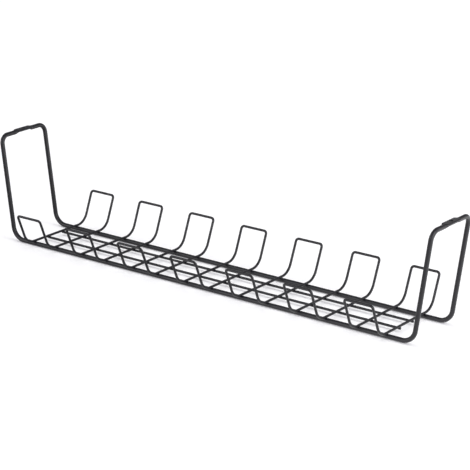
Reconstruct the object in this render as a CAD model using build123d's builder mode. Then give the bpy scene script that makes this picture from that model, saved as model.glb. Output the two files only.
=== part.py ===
from build123d import *
import math
import os

os.makedirs("parts", exist_ok=True)

# An under-desk cable tray, welded from round wire and coated.
# One thick wire is bent into a closed frame: two rails along the floor, four legs and
# two crossbars that sit against the desk. Seven thin wire loops lie across the rails
# and turn up at both sides as fingers. Two thin wires run the length of the floor.
# X runs along the tray, Y across it, Z up. The rails stand on Z = 0.

# wire sizes, and the sides of the sections that stand for the round wire
frame_wire_size = 6.0
frame_wire_sides = 12
thin_wire_size = 3.0
thin_wire_sides = 6
weld_depth = 0.3  # how far a thin wire is set into the wire it is welded to

# frame
rail_spacing = 87.0  # centre to centre
end_room = 38.15  # from an end loop's outer leg to where rail and leg lines meet
frame_height = 145.0  # centre of a rail to centre of a crossbar
leg_lean = 20.0  # how far out a leg leans over its height
rail_bend = 18.7  # bend radii are of the wire's centre line
crossbar_bend = 11.5

# pressed seat in the middle of each crossbar, flush with the top of the wire
seat_length = 26.0
seat_run_out = 4.0  # length over which the round wire turns into the flat
seat_width = 10.8
seat_thickness = 3.0
screw_hole = 5.0

# loops
loop_count = 7
loop_pitch = 90.0
loop_width = 41.2
floor_reach = 59.8  # from the middle of the tray to where floor and finger lines meet
finger_height = 44.4  # floor wire to top bar, centre to centre
finger_lean = 18.1
finger_bend = 20.0
finger_corner = 4.0

# floor wires
floor_wire_spacing = 29.7
floor_wire_overhang = 2.0  # past the centre line of the end loops' outer legs


# half the size across the flats of a section with as much steel as the round wire
def flat_radius(size, sides):
    return size / 2 * math.sqrt(math.pi / (sides * math.tan(math.pi / sides)))


frame_r = flat_radius(frame_wire_size, frame_wire_sides)
thin_r = flat_radius(thin_wire_size, thin_wire_sides)
loop_span = loop_pitch * (loop_count - 1) + loop_width
rail_length = loop_span + 2 * end_room
rail_z = frame_r
crossbar_z = rail_z + frame_height
crossbar_x = rail_length / 2 + leg_lean
loop_z = rail_z + frame_r + thin_r - weld_depth
finger_top_z = loop_z + finger_height
finger_top_y = floor_reach + finger_lean
floor_wire_z = loop_z - 2 * thin_r + weld_depth
floor_wire_length = loop_span + 2 * floor_wire_overhang


# a line through the given points with a round bend at each inner one
def bent_line(points, bend):
    start = points[0]
    for before, corner, after in zip(points, points[1:], points[2:]):
        back = (before - corner).normalized()
        ahead = (after - corner).normalized()
        half_turn = (math.pi - math.radians(back.get_angle(ahead))) / 2
        reach = bend * math.tan(half_turn)
        rise = bend / math.cos(half_turn) - bend
        bend_start = corner + back * reach
        bend_middle = corner + (back + ahead).normalized() * rise
        bend_end = corner + ahead * reach
        Line(start, bend_start)
        ThreePointArc(bend_start, bend_middle, bend_end)
        start = bend_end
    Line(start, points[-1])


# a wire's section, with a flat on top and below
def wire_section(half_flats, sides):
    RegularPolygon(half_flats, sides, major_radius=False, rotation=90 - 180 / sides)


# the section of a crossbar's pressed seat: the wire's section, thinner and drawn out sideways
def seat_section():
    half_step = (seat_width - seat_thickness) / 2
    with Locations((-half_step, 0), (half_step, 0)):
        wire_section(seat_thickness / 2, frame_wire_sides)
    make_hull()


# frame wire
half_lean = leg_lean / 2
leg_middle_z = rail_z + frame_height / 2
seat_z = crossbar_z + frame_r - seat_thickness / 2
round_start = seat_length / 2 + seat_run_out

with BuildPart() as frame_wire:
    for side in (-1, 1):
        rail_y = side * rail_spacing / 2
        with BuildLine() as rail_line:
            bent_line(
                [
                    Vector(-rail_length / 2 - half_lean, rail_y, leg_middle_z),
                    Vector(-rail_length / 2, rail_y, rail_z),
                    Vector(rail_length / 2, rail_y, rail_z),
                    Vector(rail_length / 2 + half_lean, rail_y, leg_middle_z),
                ],
                rail_bend,
            )
        with BuildSketch(Plane(rail_line.line @ 0, (0, 1, 0), rail_line.line % 0)):
            wire_section(frame_r, frame_wire_sides)
        sweep(path=rail_line.line)
    for end in (-1, 1):
        for side in (-1, 1):
            rail_y = side * rail_spacing / 2
            with BuildLine() as corner_line:
                bent_line(
                    [
                        Vector(end * (rail_length / 2 + half_lean), rail_y, leg_middle_z),
                        Vector(end * crossbar_x, rail_y, crossbar_z),
                        Vector(end * crossbar_x, side * round_start, crossbar_z),
                    ],
                    crossbar_bend,
                )
            with BuildSketch(Plane(corner_line.line @ 0, (0, 1, 0), corner_line.line % 0)):
                wire_section(frame_r, frame_wire_sides)
            sweep(path=corner_line.line)
            leg_normal = Vector(frame_height, 0, -end * leg_lean)
            with BuildSketch(Plane(corner_line.line @ 1, leg_normal, (0, -side, 0))):
                wire_section(frame_r, frame_wire_sides)
            seat_end = Vector(end * crossbar_x, side * seat_length / 2, seat_z)
            with BuildSketch(Plane(seat_end, (1, 0, 0), (0, -side, 0))):
                seat_section()
            loft(ruled=True)
        with BuildSketch(Plane((end * crossbar_x, seat_length / 2, seat_z), (1, 0, 0), (0, -1, 0))):
            seat_section()
        extrude(amount=seat_length)
        with Locations((end * crossbar_x, 0, seat_z)):
            Cylinder(screw_hole / 2, seat_thickness, mode=Mode.SUBTRACT)
frame_wire.part.label = "frame_wire"
export_step(frame_wire.part, "parts/frame_wire.step")

# loop wires
split = 0.55  # where up a finger the floor part meets the top part
split_y = floor_reach + finger_lean * split
split_z = loop_z + finger_height * split
loops = []
for i in range(loop_count):
    loop_x = (i - (loop_count - 1) / 2) * loop_pitch
    left_x = loop_x - loop_width / 2
    right_x = loop_x + loop_width / 2
    with BuildPart() as loop_wire:
        for x in (left_x, right_x):
            with BuildLine() as floor_line:
                bent_line(
                    [
                        Vector(x, -split_y, split_z),
                        Vector(x, -floor_reach, loop_z),
                        Vector(x, floor_reach, loop_z),
                        Vector(x, split_y, split_z),
                    ],
                    finger_bend,
                )
            with BuildSketch(Plane(floor_line.line @ 0, (1, 0, 0), floor_line.line % 0)):
                wire_section(thin_r, thin_wire_sides)
            sweep(path=floor_line.line)
        for side in (-1, 1):
            with BuildLine() as top_line:
                bent_line(
                    [
                        Vector(left_x, side * split_y, split_z),
                        Vector(left_x, side * finger_top_y, finger_top_z),
                        Vector(right_x, side * finger_top_y, finger_top_z),
                        Vector(right_x, side * split_y, split_z),
                    ],
                    finger_corner,
                )
            with BuildSketch(Plane(top_line.line @ 0, (1, 0, 0), top_line.line % 0)):
                wire_section(thin_r, thin_wire_sides)
            sweep(path=top_line.line)
        # the welds set the loop down into the rails
        add(frame_wire.part, mode=Mode.SUBTRACT)
    loop_wire.part.label = f"loop_wire_{i + 1}"
    export_step(loop_wire.part, f"parts/loop_wire_{i + 1}.step")
    loops.append(loop_wire.part)

# floor wires, set up into the loops that lie on them
for name, side in (("front", -1), ("back", 1)):
    wire_start = Vector(-floor_wire_length / 2, side * floor_wire_spacing / 2, floor_wire_z)
    with BuildPart() as floor_wire:
        with BuildSketch(Plane(wire_start, (0, 1, 0), (1, 0, 0))):
            wire_section(thin_r, thin_wire_sides)
        extrude(amount=floor_wire_length)
        for loop in loops:
            add(loop, mode=Mode.SUBTRACT)
    floor_wire.part.label = f"floor_wire_{name}"
    export_step(floor_wire.part, f"parts/floor_wire_{name}.step")
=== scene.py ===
import math
import bpy
import bmesh
from mathutils import Matrix, Vector


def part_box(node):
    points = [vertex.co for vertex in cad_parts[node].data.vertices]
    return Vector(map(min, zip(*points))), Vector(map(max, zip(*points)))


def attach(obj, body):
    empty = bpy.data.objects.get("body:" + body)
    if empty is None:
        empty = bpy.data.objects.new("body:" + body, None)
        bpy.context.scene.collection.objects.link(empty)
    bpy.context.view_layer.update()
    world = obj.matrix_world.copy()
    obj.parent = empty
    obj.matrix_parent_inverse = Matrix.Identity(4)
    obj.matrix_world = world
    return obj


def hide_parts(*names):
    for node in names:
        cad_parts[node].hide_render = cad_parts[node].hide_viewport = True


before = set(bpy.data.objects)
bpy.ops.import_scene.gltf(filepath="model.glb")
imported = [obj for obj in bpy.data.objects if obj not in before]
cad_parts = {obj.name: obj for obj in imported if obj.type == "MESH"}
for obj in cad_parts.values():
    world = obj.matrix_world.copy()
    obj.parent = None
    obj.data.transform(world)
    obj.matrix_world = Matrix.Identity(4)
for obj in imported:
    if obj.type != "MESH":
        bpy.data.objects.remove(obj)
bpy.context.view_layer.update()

# An under-desk cable tray of coated round wire, standing on its rails.
# Lengths are in metres. X runs along the tray to the right, Y to the back, Z up.
MM = 0.001
FRONT, BACK = -1, 1
LEFT, RIGHT = -1, 1

# round wire, where the solids have many-sided wire with as much steel, and the coat on it,
# which gathers more on thin wire
FRAME_COAT = 0.1 * MM
THIN_COAT = 0.2 * MM
FRAME_R = 3.0 * MM + FRAME_COAT
THIN_R = 1.5 * MM + THIN_COAT
FRAME_SIDES = 12
THIN_SIDES = 6

# frame wire
RAIL_SPACING = 87.0 * MM
FRAME_HEIGHT = 145.0 * MM
LEG_LEAN = 20.0 * MM
RAIL_BEND = 18.7 * MM
CROSSBAR_BEND = 11.5 * MM

# pressed seat in the middle of each crossbar, with its screw hole
SEAT_LENGTH = 26.0 * MM
SEAT_RUN_OUT = 4.0 * MM
SEAT_WIDTH = 10.8 * MM + 2 * FRAME_COAT
SEAT_THICKNESS = 3.0 * MM + 2 * FRAME_COAT
SEAT_SPREAD = 6  # how sharply the two halves of the section part
SCREW_HOLE = 5.0 * MM
DRILL_LENGTH = 4 * SEAT_THICKNESS
HOLE_EDGE = 0.35 * MM

# loop wires
LOOPS = sorted(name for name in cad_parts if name.startswith("loop_wire"))
LOOP_WIDTH = 41.2 * MM
FLOOR_REACH = 59.8 * MM  # from the middle of the tray to where floor and finger lines meet
FINGER_HEIGHT = 44.4 * MM
FINGER_LEAN = 18.1 * MM
FINGER_BEND = 20.0 * MM
FINGER_CORNER = 4.0 * MM
# how far out and up, in millimetres, the tips of each loop's fingers were bent from true
FRONT_TIPS = ((-0.8, 0.0), (-0.4, -0.9), (-0.3, -1.8), (0.0, -1.4), (-0.3, -0.4), (-0.5, 0.0), (-0.5, -0.2))
BACK_TIPS = ((-0.5, -0.2), (-0.5, 0.6), (0.2, 0.8), (-0.3, 0.3), (0.5, 0.2), (0.4, 0.2), (0.0, 0.2))

# floor wires
FLOOR_WIRES = ("floor_wire_front", "floor_wire_back")
WIRE_END_EDGE = 0.3 * MM

# welds
WELD_FILLET = 0.55 * MM  # gap between the wires where the fillet ends
WELD_ROOT = 0.12  # share of that gap where it starts
WELD_REACH = 0.98  # share of the thinner wire's radius that a fillet may take up
WELD_SINK = 0.02 * MM  # how far the fillet's edges are sunk into the wires
WELD_UNEVENNESS = 0.12
WELD_LUMPS = 3
WELD_PHASE = (40, 90)  # turns the lumps with the place, so that welds differ

# fineness of the meshes
FRAME_RING = 48
THIN_RING = 28
RAIL_BEND_STEPS = 28
CROSSBAR_BEND_STEPS = 24
RUN_OUT_STEPS = 12
HALF_SEAT_STEPS = 3
HOLE_RING = 48
HOLE_EDGE_STEPS = 4
FINGER_BEND_STEPS = 20
FINGER_CORNER_STEPS = 14
WIRE_END_STEPS = 5
WELD_RING = 36
WELD_STEPS = 5
WELD_HALVINGS = 30
SHARP_ANGLE = math.radians(50)
RIM_OFF_WALL = 0.05 * MM  # a vertex nearer than this to a hole's wall
RIM_OFF_FACE = 0.1 * MM  # and than this to the seat's face is on the hole's rim
SLIVER = 0.003 * MM  # shorter edges are dissolved

# powder coat
COAT_IOR = 1.46
COAT_DARK = (0.0080, 0.0074, 0.0115, 1)
COAT_LIGHT = (0.0115, 0.0107, 0.0160, 1)
COAT_ROUGHNESS = (0.34, 0.44)
MOTTLE_IN_COLOUR = (0.35, 0.65)  # noise levels between which the coat goes from dark to light
MOTTLE_IN_GLOSS = (0.3, 0.7)  # and between which it goes from smoother to rougher
MOTTLE_NOISE = (90.0, 3.0)  # scale and detail
PEEL_NOISE = (650.0, 1.5)
GRAIN_NOISE = (3200.0, 1.0)
GRAIN_SHARE = 0.25
RELIEF_STRENGTH = 0.7
RELIEF_DEPTH = 0.15 * MM

# floor, with a painted reflection: shiny surfaces see it glow from dim to bright towards one side
STAGE_SIZE = 20.0
FLOOR_Z = -0.2 * MM
FLOOR_GREY = (0.85, 0.85, 0.85, 1)
FLOOR_FILL = 0.23
FLOOR_FILL_TINT = (0.98, 0.96, 1.05, 1)
FLOOR_IN_GLOSS = (0.3, 2.3)
BRIGHT_SIDE = (0.8, 0.6, 0)
BRIGHTENS_OVER = (-0.5, 1.0)  # metres along that direction

# sky, brighter in a band that runs over the tray from end to end
SKY_LIGHT = 0.66
SKY_BAND = 1.05
SKY_BAND_HALF_WIDTH = 0.45
SKY_IN_GLOSS = 0.26

# lamps, each with its place, what it points at, its width and height, and its power
KEY_LIGHT = ((1.7, -0.1, 1.1), (0.1, 0, 0), (0.9, 0.9), 8.0)
FRONT_CARD = ((-0.81, -1.41, 0.63), (0.15, 0, 0.05), (1.9, 1.35), 18.0)
BACK_CARD = ((0.9, 0.65, 0.45), (0.35, 0, 0.15), (0.6, 0.5), 1.1)
SIDE_CARD = ((1.3, -0.3, 0.45), (0.35, -0.04, 0.15), (1.3, 0.8), 9.0)
WALL_CARD = ((-0.5, 1.3, 0.6), (0.35, 0, 0.15), (0.8, 0.5), 0.5)

# camera, fitted to the photograph; angles in degrees
CAMERA_AZIMUTH = 36.927
CAMERA_ELEVATION = 18.237
CAMERA_ROLL = 0.297
CAMERA_DISTANCE = 2.4442
CAMERA_OFFSET = (0.0206, -0.0004)
CAMERA_AIM_Z = 0.063
SENSOR_WIDTH = 36
FOCAL_PIXELS = 1857.2
IMAGE_PIXELS = 470


def middle(node, axis):
    low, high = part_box(node)
    return (low[axis] + high[axis]) / 2


def flats(radius, sides):
    """half the size across the flats of the many-sided section that stands for a round one"""
    return radius * math.sqrt(math.pi / (sides * math.tan(math.pi / sides)))


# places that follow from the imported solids
rail_y = RAIL_SPACING / 2
rail_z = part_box("frame_wire")[0][2] + flats(FRAME_R - FRAME_COAT, FRAME_SIDES)
crossbar_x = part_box("frame_wire")[1][0] - SEAT_WIDTH / 2 + FRAME_COAT
crossbar_z = rail_z + FRAME_HEIGHT
leg_foot_x = crossbar_x - LEG_LEAN
seat_rise = FRAME_R - SEAT_THICKNESS / 2
floor_leg_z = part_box(LOOPS[0])[0][2] + flats(THIN_R - THIN_COAT, THIN_SIDES)
floor_wire_z = middle(FLOOR_WIRES[0], 2)


# wires as swept rings
def bent_path(corners):
    """a closed path; corners are (point, bend radius, steps), with radius 0 on a straight run"""
    path = []
    count = len(corners)
    for i, (corner, bend, steps) in enumerate(corners):
        if bend == 0:
            path.append(Vector(corner))
            continue
        corner = Vector(corner)
        back = (Vector(corners[i - 1][0]) - corner).normalized()
        ahead = (Vector(corners[(i + 1) % count][0]) - corner).normalized()
        turn = math.pi - back.angle(ahead)
        reach = bend * math.tan(turn / 2)
        hub = corner + (back + ahead).normalized() * bend / math.cos(turn / 2)
        start = corner + back * reach - hub
        side = (-back - (-back).project(start)).normalized() * bend
        for k in range(steps + 1):
            angle = turn * k / steps
            path.append(hub + start * math.cos(angle) + side * math.sin(angle))
    return path


def carried_axes(path):
    """a pair of axes across the closed path at each point, carried along it without twist"""
    count = len(path)
    tangents = []
    for i in range(count):
        into = path[i] - path[i - 1]
        out = path[(i + 1) % count] - path[i]
        tangents.append((into.normalized() + out.normalized()).normalized())
    first = tangents[0].orthogonal().normalized()
    across = [first]
    for i in range(1, count):
        turn = tangents[i - 1].rotation_difference(tangents[i])
        across.append((turn @ across[-1]).normalized())
    turn = tangents[-1].rotation_difference(tangents[0])
    last = turn @ across[-1]
    twist = math.atan2(last.cross(first).dot(tangents[0]), last.dot(first))
    for i in range(count):
        across[i] = Matrix.Rotation(twist * i / count, 3, tangents[i]) @ across[i]
    return [(a, t.cross(a)) for a, t in zip(across, tangents)]


def join_rings(mesh, rings):
    """faces between each ring of vertices and the next"""
    for one, other in zip(rings, rings[1:]):
        for j in range(len(one)):
            k = (j + 1) % len(one)
            mesh.faces.new((one[j], one[k], other[k], other[j]))


def swept_wire(mesh, corners, ring, shape):
    """shape says where the vertex goes that lies in a given direction out from the path"""
    path = bent_path(corners)
    rings = []
    for point, (a, b) in zip(path, carried_axes(path)):
        verts = []
        for j in range(ring):
            angle = 2 * math.pi * j / ring
            out = a * math.cos(angle) + b * math.sin(angle)
            verts.append(mesh.verts.new(shape(point, out)))
        rings.append(verts)
    join_rings(mesh, rings + rings[:1])


def finished(mesh, node):
    """the piece that stands for a node, made from its mesh"""
    name = f"{node}_coated"
    bmesh.ops.recalc_face_normals(mesh, faces=mesh.faces)
    data = bpy.data.meshes.new(name)
    mesh.to_mesh(data)
    mesh.free()
    for face in data.polygons:
        face.use_smooth = True
    data.set_sharp_from_angle(angle=SHARP_ANGLE)
    data.materials.append(coat)
    piece = bpy.data.objects.new(name, data)
    bpy.context.collection.objects.link(piece)
    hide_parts(node)
    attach(piece, "root")
    return piece


# small fillet of squeezed-out metal round the contact of two crossed wires
def weld(mesh, x, y, low_z, low_r, high_z, high_r):
    """the low wire runs along X, the high one along Y"""

    def low_top(v):
        return low_z + math.sqrt(low_r ** 2 - v ** 2)

    def high_bottom(u):
        return high_z - math.sqrt(high_r ** 2 - u ** 2)

    def reach(angle, gap):
        """how far from the contact the wires are a given gap apart"""
        near, far = 0.0, min(low_r, high_r) * WELD_REACH
        for _ in range(WELD_HALVINGS):
            rho = (near + far) / 2
            if high_bottom(rho * math.cos(angle)) - low_top(rho * math.sin(angle)) < gap:
                near = rho
            else:
                far = rho
        return near

    rings = []
    for i in range(WELD_RING):
        angle = 2 * math.pi * i / WELD_RING
        c, s = math.cos(angle), math.sin(angle)
        lump = 1 + WELD_UNEVENNESS * math.sin(WELD_LUMPS * angle + WELD_PHASE[0] * x + WELD_PHASE[1] * y)
        outer = reach(angle, WELD_FILLET * lump)
        inner = reach(angle, WELD_FILLET * WELD_ROOT)
        foot = Vector((x + outer * c, y + outer * s, low_top(outer * s) - WELD_SINK))
        root = Vector((x + inner * c, y + inner * s, (low_top(inner * s) + high_bottom(inner * c)) / 2))
        head = Vector((x + outer * c, y + outer * s, high_bottom(outer * c) + WELD_SINK))
        row = []
        for k in range(WELD_STEPS + 1):
            t = k / WELD_STEPS
            place = foot * (1 - t) ** 2 + root * 2 * t * (1 - t) + head * t ** 2
            row.append(mesh.verts.new(place))
        rings.append(row)
    for one, other in zip(rings, rings[1:] + rings[:1]):
        for k in range(WELD_STEPS):
            mesh.faces.new((one[k], other[k], other[k + 1], one[k + 1]))


# shader nodes used more than once
def noise(nodes, scale, detail):
    node = nodes.new("ShaderNodeTexNoise")
    node.inputs["Scale"].default_value = scale
    node.inputs["Detail"].default_value = detail
    return node


def map_range(nodes, source, target, interpolation="LINEAR"):
    node = nodes.new("ShaderNodeMapRange")
    node.interpolation_type = interpolation
    node.inputs["From Min"].default_value, node.inputs["From Max"].default_value = source
    node.inputs["To Min"].default_value, node.inputs["To Max"].default_value = target
    return node


# satin powder coat
def coated_material():
    material = bpy.data.materials.new("coated_wire")
    material.use_nodes = True
    nodes = material.node_tree.nodes
    links = material.node_tree.links
    shader = nodes["Principled BSDF"]
    shader.inputs["IOR"].default_value = COAT_IOR
    place = nodes.new("ShaderNodeTexCoord")

    # faint mottling of the coat
    mottle = noise(nodes, *MOTTLE_NOISE)
    tone = map_range(nodes, MOTTLE_IN_COLOUR, (0, 1))
    colour = nodes.new("ShaderNodeMix")
    colour.data_type = "RGBA"
    colour.inputs["A"].default_value = COAT_DARK
    colour.inputs["B"].default_value = COAT_LIGHT
    links.new(place.outputs["Object"], mottle.inputs["Vector"])
    links.new(mottle.outputs["Fac"], tone.inputs["Value"])
    links.new(tone.outputs["Result"], colour.inputs["Factor"])
    links.new(colour.outputs["Result"], shader.inputs["Base Color"])

    # satin, a little uneven
    gloss = map_range(nodes, MOTTLE_IN_GLOSS, COAT_ROUGHNESS)
    links.new(mottle.outputs["Fac"], gloss.inputs["Value"])
    links.new(gloss.outputs["Result"], shader.inputs["Roughness"])

    # orange peel and the fine grain of the powder
    peel = noise(nodes, *PEEL_NOISE)
    grain = noise(nodes, *GRAIN_NOISE)
    relief = nodes.new("ShaderNodeMath")
    relief.operation = "MULTIPLY_ADD"
    relief.inputs[1].default_value = GRAIN_SHARE
    bump = nodes.new("ShaderNodeBump")
    bump.inputs["Strength"].default_value = RELIEF_STRENGTH
    bump.inputs["Distance"].default_value = RELIEF_DEPTH
    links.new(place.outputs["Object"], peel.inputs["Vector"])
    links.new(place.outputs["Object"], grain.inputs["Vector"])
    links.new(grain.outputs["Fac"], relief.inputs[0])
    links.new(peel.outputs["Fac"], relief.inputs[2])
    links.new(relief.outputs["Value"], bump.inputs["Height"])
    links.new(bump.outputs["Normal"], shader.inputs["Normal"])
    return material


coat = coated_material()


# frame wire
def smooth(t):
    t = max(0.0, min(1.0, t))
    return t * t * (3 - 2 * t)


def frame_shape(point, out):
    """round wire, pressed flat in the middle of the crossbars"""
    pressed = 0.0
    if point.z > crossbar_z - FRAME_R:
        pressed = smooth((SEAT_LENGTH / 2 + SEAT_RUN_OUT - abs(point.y)) / SEAT_RUN_OUT)
    if pressed == 0:
        return point + out * FRAME_R
    half = SEAT_THICKNESS / 2
    step = SEAT_WIDTH / 2 - half
    spread = max(-1.0, min(1.0, out.x * SEAT_SPREAD))
    flat = Vector((out.x * half + spread * step, 0, out.z * half + seat_rise))
    return point + out * FRAME_R * (1 - pressed) + flat * pressed


def crossbar_stations(end, onwards):
    """points along a crossbar, close together where the wire is pressed"""
    edge = SEAT_LENGTH / 2
    stations = [-edge - SEAT_RUN_OUT * (1 - k / RUN_OUT_STEPS) for k in range(RUN_OUT_STEPS + 1)]
    stations += [-edge * (1 - k / HALF_SEAT_STEPS) for k in range(1, HALF_SEAT_STEPS)]
    stations += [0.0]
    stations += [-y for y in reversed(stations[:-1])]
    return [((end * crossbar_x, onwards * y, crossbar_z), 0, 0) for y in stations]


def rail_corner(end, side):
    return ((end * leg_foot_x, side * rail_y, rail_z), RAIL_BEND, RAIL_BEND_STEPS)


def crossbar_corner(end, side):
    return ((end * crossbar_x, side * rail_y, crossbar_z), CROSSBAR_BEND, CROSSBAR_BEND_STEPS)


body = bmesh.new()
frame_corners = [
    rail_corner(LEFT, FRONT),
    rail_corner(RIGHT, FRONT),
    crossbar_corner(RIGHT, FRONT),
    *crossbar_stations(RIGHT, BACK),
    crossbar_corner(RIGHT, BACK),
    rail_corner(RIGHT, BACK),
    rail_corner(LEFT, BACK),
    crossbar_corner(LEFT, BACK),
    *crossbar_stations(LEFT, FRONT),
    crossbar_corner(LEFT, FRONT),
]
swept_wire(body, frame_corners, FRAME_RING, frame_shape)
frame_piece = finished(body, "frame_wire")


# screw holes through the seats, with their edges broken
def drill_seat(piece, end):
    drill_mesh = bmesh.new()
    bmesh.ops.create_cone(
        drill_mesh,
        cap_ends=True,
        segments=HOLE_RING,
        radius1=SCREW_HOLE / 2,
        radius2=SCREW_HOLE / 2,
        depth=DRILL_LENGTH,
        matrix=Matrix.Translation((end * crossbar_x, 0, crossbar_z + seat_rise)),
    )
    drill_data = bpy.data.meshes.new("drill")
    drill_mesh.to_mesh(drill_data)
    drill_mesh.free()
    drill = bpy.data.objects.new("drill", drill_data)
    bpy.context.collection.objects.link(drill)
    cut = piece.modifiers.new("cut", "BOOLEAN")
    cut.operation = "DIFFERENCE"
    cut.solver = "EXACT"
    cut.object = drill
    bpy.context.view_layer.update()
    cut_piece = piece.evaluated_get(bpy.context.evaluated_depsgraph_get())
    cut_data = bpy.data.meshes.new_from_object(cut_piece)
    piece.modifiers.clear()
    piece.data = cut_data
    bpy.data.objects.remove(drill)


def on_rim(vert):
    """whether a vertex is on the wall of a screw hole and on a face of the seat"""
    from_axis = math.hypot(abs(vert.co.x) - crossbar_x, vert.co.y)
    from_middle = abs(vert.co.z - crossbar_z - seat_rise)
    off_wall = abs(from_axis - SCREW_HOLE / 2)
    off_face = abs(from_middle - SEAT_THICKNESS / 2)
    return off_wall <= RIM_OFF_WALL and off_face <= RIM_OFF_FACE


def break_hole_edges(piece):
    mesh = bmesh.new()
    mesh.from_mesh(piece.data)
    bmesh.ops.bevel(
        mesh,
        geom=[edge for edge in mesh.edges if all(on_rim(vert) for vert in edge.verts)],
        offset=HOLE_EDGE,
        segments=HOLE_EDGE_STEPS,
        profile=0.5,
        affect="EDGES",
        clamp_overlap=True,
    )
    bmesh.ops.dissolve_degenerate(mesh, dist=SLIVER, edges=mesh.edges)
    mesh.to_mesh(piece.data)
    mesh.free()
    piece.data.set_sharp_from_angle(angle=SHARP_ANGLE)


for end in (LEFT, RIGHT):
    drill_seat(frame_piece, end)
break_hole_edges(frame_piece)


# loop wires, with the welds that hold them
def thin_shape(point, out):
    return point + out * THIN_R


def floor_corner(x, side):
    return ((x, side * FLOOR_REACH, floor_leg_z), FINGER_BEND, FINGER_BEND_STEPS)


def tip_corner(x, side, tip):
    out, up = tip
    tip_y = FLOOR_REACH + FINGER_LEAN + out * MM
    tip_z = floor_leg_z + FINGER_HEIGHT + up * MM
    return ((x, side * tip_y, tip_z), FINGER_CORNER, FINGER_CORNER_STEPS)


for node, front_tip, back_tip in zip(LOOPS, FRONT_TIPS, BACK_TIPS):
    loop_x = middle(node, 0)
    left_x, right_x = loop_x - LOOP_WIDTH / 2, loop_x + LOOP_WIDTH / 2
    body = bmesh.new()
    loop_corners = [
        floor_corner(left_x, FRONT),
        floor_corner(left_x, BACK),
        tip_corner(left_x, BACK, back_tip),
        tip_corner(right_x, BACK, back_tip),
        floor_corner(right_x, BACK),
        floor_corner(right_x, FRONT),
        tip_corner(right_x, FRONT, front_tip),
        tip_corner(left_x, FRONT, front_tip),
    ]
    swept_wire(body, loop_corners, THIN_RING, thin_shape)
    for leg_x in (left_x, right_x):
        for side in (FRONT, BACK):
            weld(body, leg_x, side * rail_y, rail_z, FRAME_R, floor_leg_z, THIN_R)
        for wire in FLOOR_WIRES:
            weld(body, leg_x, middle(wire, 1), floor_wire_z, THIN_R, floor_leg_z, THIN_R)
    finished(body, node)

# floor wires, cut square with worn edges
for node in FLOOR_WIRES:
    low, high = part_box(node)
    wire_y = middle(node, 1)
    stations = []
    for k in range(WIRE_END_STEPS + 1):
        angle = math.pi / 2 * k / WIRE_END_STEPS
        along = low[0] + WIRE_END_EDGE * (1 - math.cos(angle))
        radius = THIN_R - WIRE_END_EDGE * (1 - math.sin(angle))
        stations.append((along, radius))
    stations += [(high[0] + low[0] - along, radius) for along, radius in reversed(stations)]
    body = bmesh.new()
    rings = []
    for along, radius in stations:
        row = []
        for j in range(THIN_RING):
            angle = 2 * math.pi * j / THIN_RING
            across = wire_y + radius * math.cos(angle)
            height = floor_wire_z + radius * math.sin(angle)
            row.append(body.verts.new((along, across, height)))
        rings.append(row)
    join_rings(body, rings)
    body.faces.new(rings[0])
    body.faces.new(rings[-1])
    finished(body, node)


# white floor that keeps the tray's soft shadow; to shiny surfaces it glows brighter to the right
# and the back, a painted reflection
def floor_material():
    material = bpy.data.materials.new("studio_floor")
    material.use_nodes = True
    nodes = material.node_tree.nodes
    links = material.node_tree.links
    nodes.remove(nodes["Principled BSDF"])
    light_path = nodes.new("ShaderNodeLightPath")
    matte = nodes.new("ShaderNodeBsdfDiffuse")
    matte.inputs["Color"].default_value = FLOOR_GREY
    fill = nodes.new("ShaderNodeMath")
    fill.operation = "MULTIPLY"
    fill.inputs[1].default_value = FLOOR_FILL
    fill_glow = nodes.new("ShaderNodeEmission")
    fill_glow.inputs["Color"].default_value = FLOOR_FILL_TINT
    seen = nodes.new("ShaderNodeAddShader")
    place = nodes.new("ShaderNodeTexCoord")
    along = nodes.new("ShaderNodeVectorMath")
    along.operation = "DOT_PRODUCT"
    along.inputs[1].default_value = BRIGHT_SIDE
    # painted reflection: a glow that only glossy rays see, rising towards the bright side
    gloss_glow_ramp = map_range(nodes, BRIGHTENS_OVER, FLOOR_IN_GLOSS, "SMOOTHSTEP")
    painted_reflection_glow = nodes.new("ShaderNodeEmission")
    both = nodes.new("ShaderNodeMixShader")
    links.new(light_path.outputs["Is Camera Ray"], fill.inputs[0])
    links.new(fill.outputs["Value"], fill_glow.inputs["Strength"])
    links.new(matte.outputs["BSDF"], seen.inputs[0])
    links.new(fill_glow.outputs["Emission"], seen.inputs[1])
    links.new(place.outputs["Object"], along.inputs[0])
    links.new(along.outputs["Value"], gloss_glow_ramp.inputs["Value"])
    links.new(gloss_glow_ramp.outputs["Result"], painted_reflection_glow.inputs["Strength"])
    links.new(light_path.outputs["Is Glossy Ray"], both.inputs["Fac"])
    links.new(seen.outputs["Shader"], both.inputs[1])
    links.new(painted_reflection_glow.outputs["Emission"], both.inputs[2])
    links.new(both.outputs["Shader"], nodes["Material Output"].inputs["Surface"])
    return material


floor_mesh = bmesh.new()
floor_place = Matrix.Translation((0, 0, FLOOR_Z))
bmesh.ops.create_grid(floor_mesh, x_segments=1, y_segments=1, size=STAGE_SIZE, matrix=floor_place)
floor_data = bpy.data.meshes.new("studio_floor")
floor_mesh.to_mesh(floor_data)
floor_mesh.free()
floor_data.materials.append(floor_material())
floor = bpy.data.objects.new("studio_floor", floor_data)
bpy.context.collection.objects.link(floor)


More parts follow.
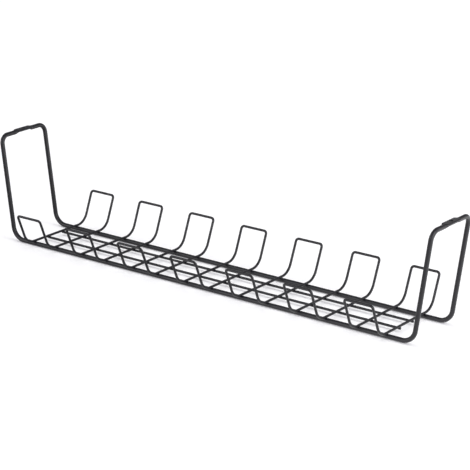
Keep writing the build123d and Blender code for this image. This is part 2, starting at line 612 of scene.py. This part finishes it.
# soft light all round, which shiny surfaces see as a dim studio and the camera as white
def studio_world():
    world = bpy.data.worlds.new("studio")
    world.use_nodes = True
    nodes = world.node_tree.nodes
    links = world.node_tree.links
    background = nodes["Background"]
    background.inputs["Color"].default_value = (1, 1, 1, 1)
    light_path = nodes.new("ShaderNodeLightPath")
    direction = nodes.new("ShaderNodeTexCoord")
    parts = nodes.new("ShaderNodeSeparateXYZ")
    off_band = nodes.new("ShaderNodeMath")
    off_band.operation = "ABSOLUTE"
    band = map_range(nodes, (0, SKY_BAND_HALF_WIDTH), (SKY_LIGHT + SKY_BAND, SKY_LIGHT), "SMOOTHSTEP")
    around = nodes.new("ShaderNodeMix")
    around.inputs["B"].default_value = SKY_IN_GLOSS
    level = nodes.new("ShaderNodeMix")
    level.inputs["B"].default_value = 1.0
    links.new(direction.outputs["Generated"], parts.inputs["Vector"])
    links.new(parts.outputs["Y"], off_band.inputs[0])
    links.new(off_band.outputs["Value"], band.inputs["Value"])
    links.new(band.outputs["Result"], around.inputs["A"])
    links.new(light_path.outputs["Is Glossy Ray"], around.inputs["Factor"])
    links.new(around.outputs["Result"], level.inputs["A"])
    links.new(light_path.outputs["Is Camera Ray"], level.inputs["Factor"])
    links.new(level.outputs["Result"], background.inputs["Strength"])
    return world


bpy.context.scene.world = studio_world()


def soft_lamp(name, place, aim, size, power):
    lamp = bpy.data.lights.new(name, "AREA")
    lamp.shape = "RECTANGLE"
    lamp.size, lamp.size_y = size
    lamp.energy = power
    holder = bpy.data.objects.new(name, lamp)
    holder.location = place
    holder.rotation_euler = (Vector(aim) - Vector(place)).to_track_quat("-Z", "Y").to_euler()
    holder.visible_camera = False
    bpy.context.collection.objects.link(holder)
    return holder


# a soft key light, and cards that show only in the gloss
soft_lamp("key_light", *KEY_LIGHT)
for card in (
    soft_lamp("front_card", *FRONT_CARD),
    soft_lamp("back_card", *BACK_CARD),
    soft_lamp("side_card", *SIDE_CARD),
    soft_lamp("wall_card", *WALL_CARD),
):
    card.visible_diffuse = False

# camera
azimuth = math.radians(CAMERA_AZIMUTH)
elevation = math.radians(CAMERA_ELEVATION)
roll = math.radians(CAMERA_ROLL)
to_camera = Vector((
    math.sin(azimuth) * math.cos(elevation),
    -math.cos(azimuth) * math.cos(elevation),
    math.sin(elevation),
))
level_right = Vector((math.cos(azimuth), math.sin(azimuth), 0))
level_up = to_camera.cross(level_right)
right = level_right * math.cos(roll) + level_up * math.sin(roll)
up = level_up * math.cos(roll) - level_right * math.sin(roll)
aim = Vector((0, 0, CAMERA_AIM_Z))
place = aim + right * CAMERA_OFFSET[0] + up * CAMERA_OFFSET[1] + to_camera * CAMERA_DISTANCE
camera_data = bpy.data.cameras.new("camera")
camera_data.sensor_width = SENSOR_WIDTH
camera_data.lens = FOCAL_PIXELS / IMAGE_PIXELS * SENSOR_WIDTH
camera = bpy.data.objects.new("camera", camera_data)
camera.matrix_world = Matrix((
    (right.x, up.x, to_camera.x, place.x),
    (right.y, up.y, to_camera.y, place.y),
    (right.z, up.z, to_camera.z, place.z),
    (0, 0, 0, 1),
))
bpy.context.collection.objects.link(camera)
bpy.context.scene.camera = camera
bpy.context.scene.view_settings.view_transform = "Standard"
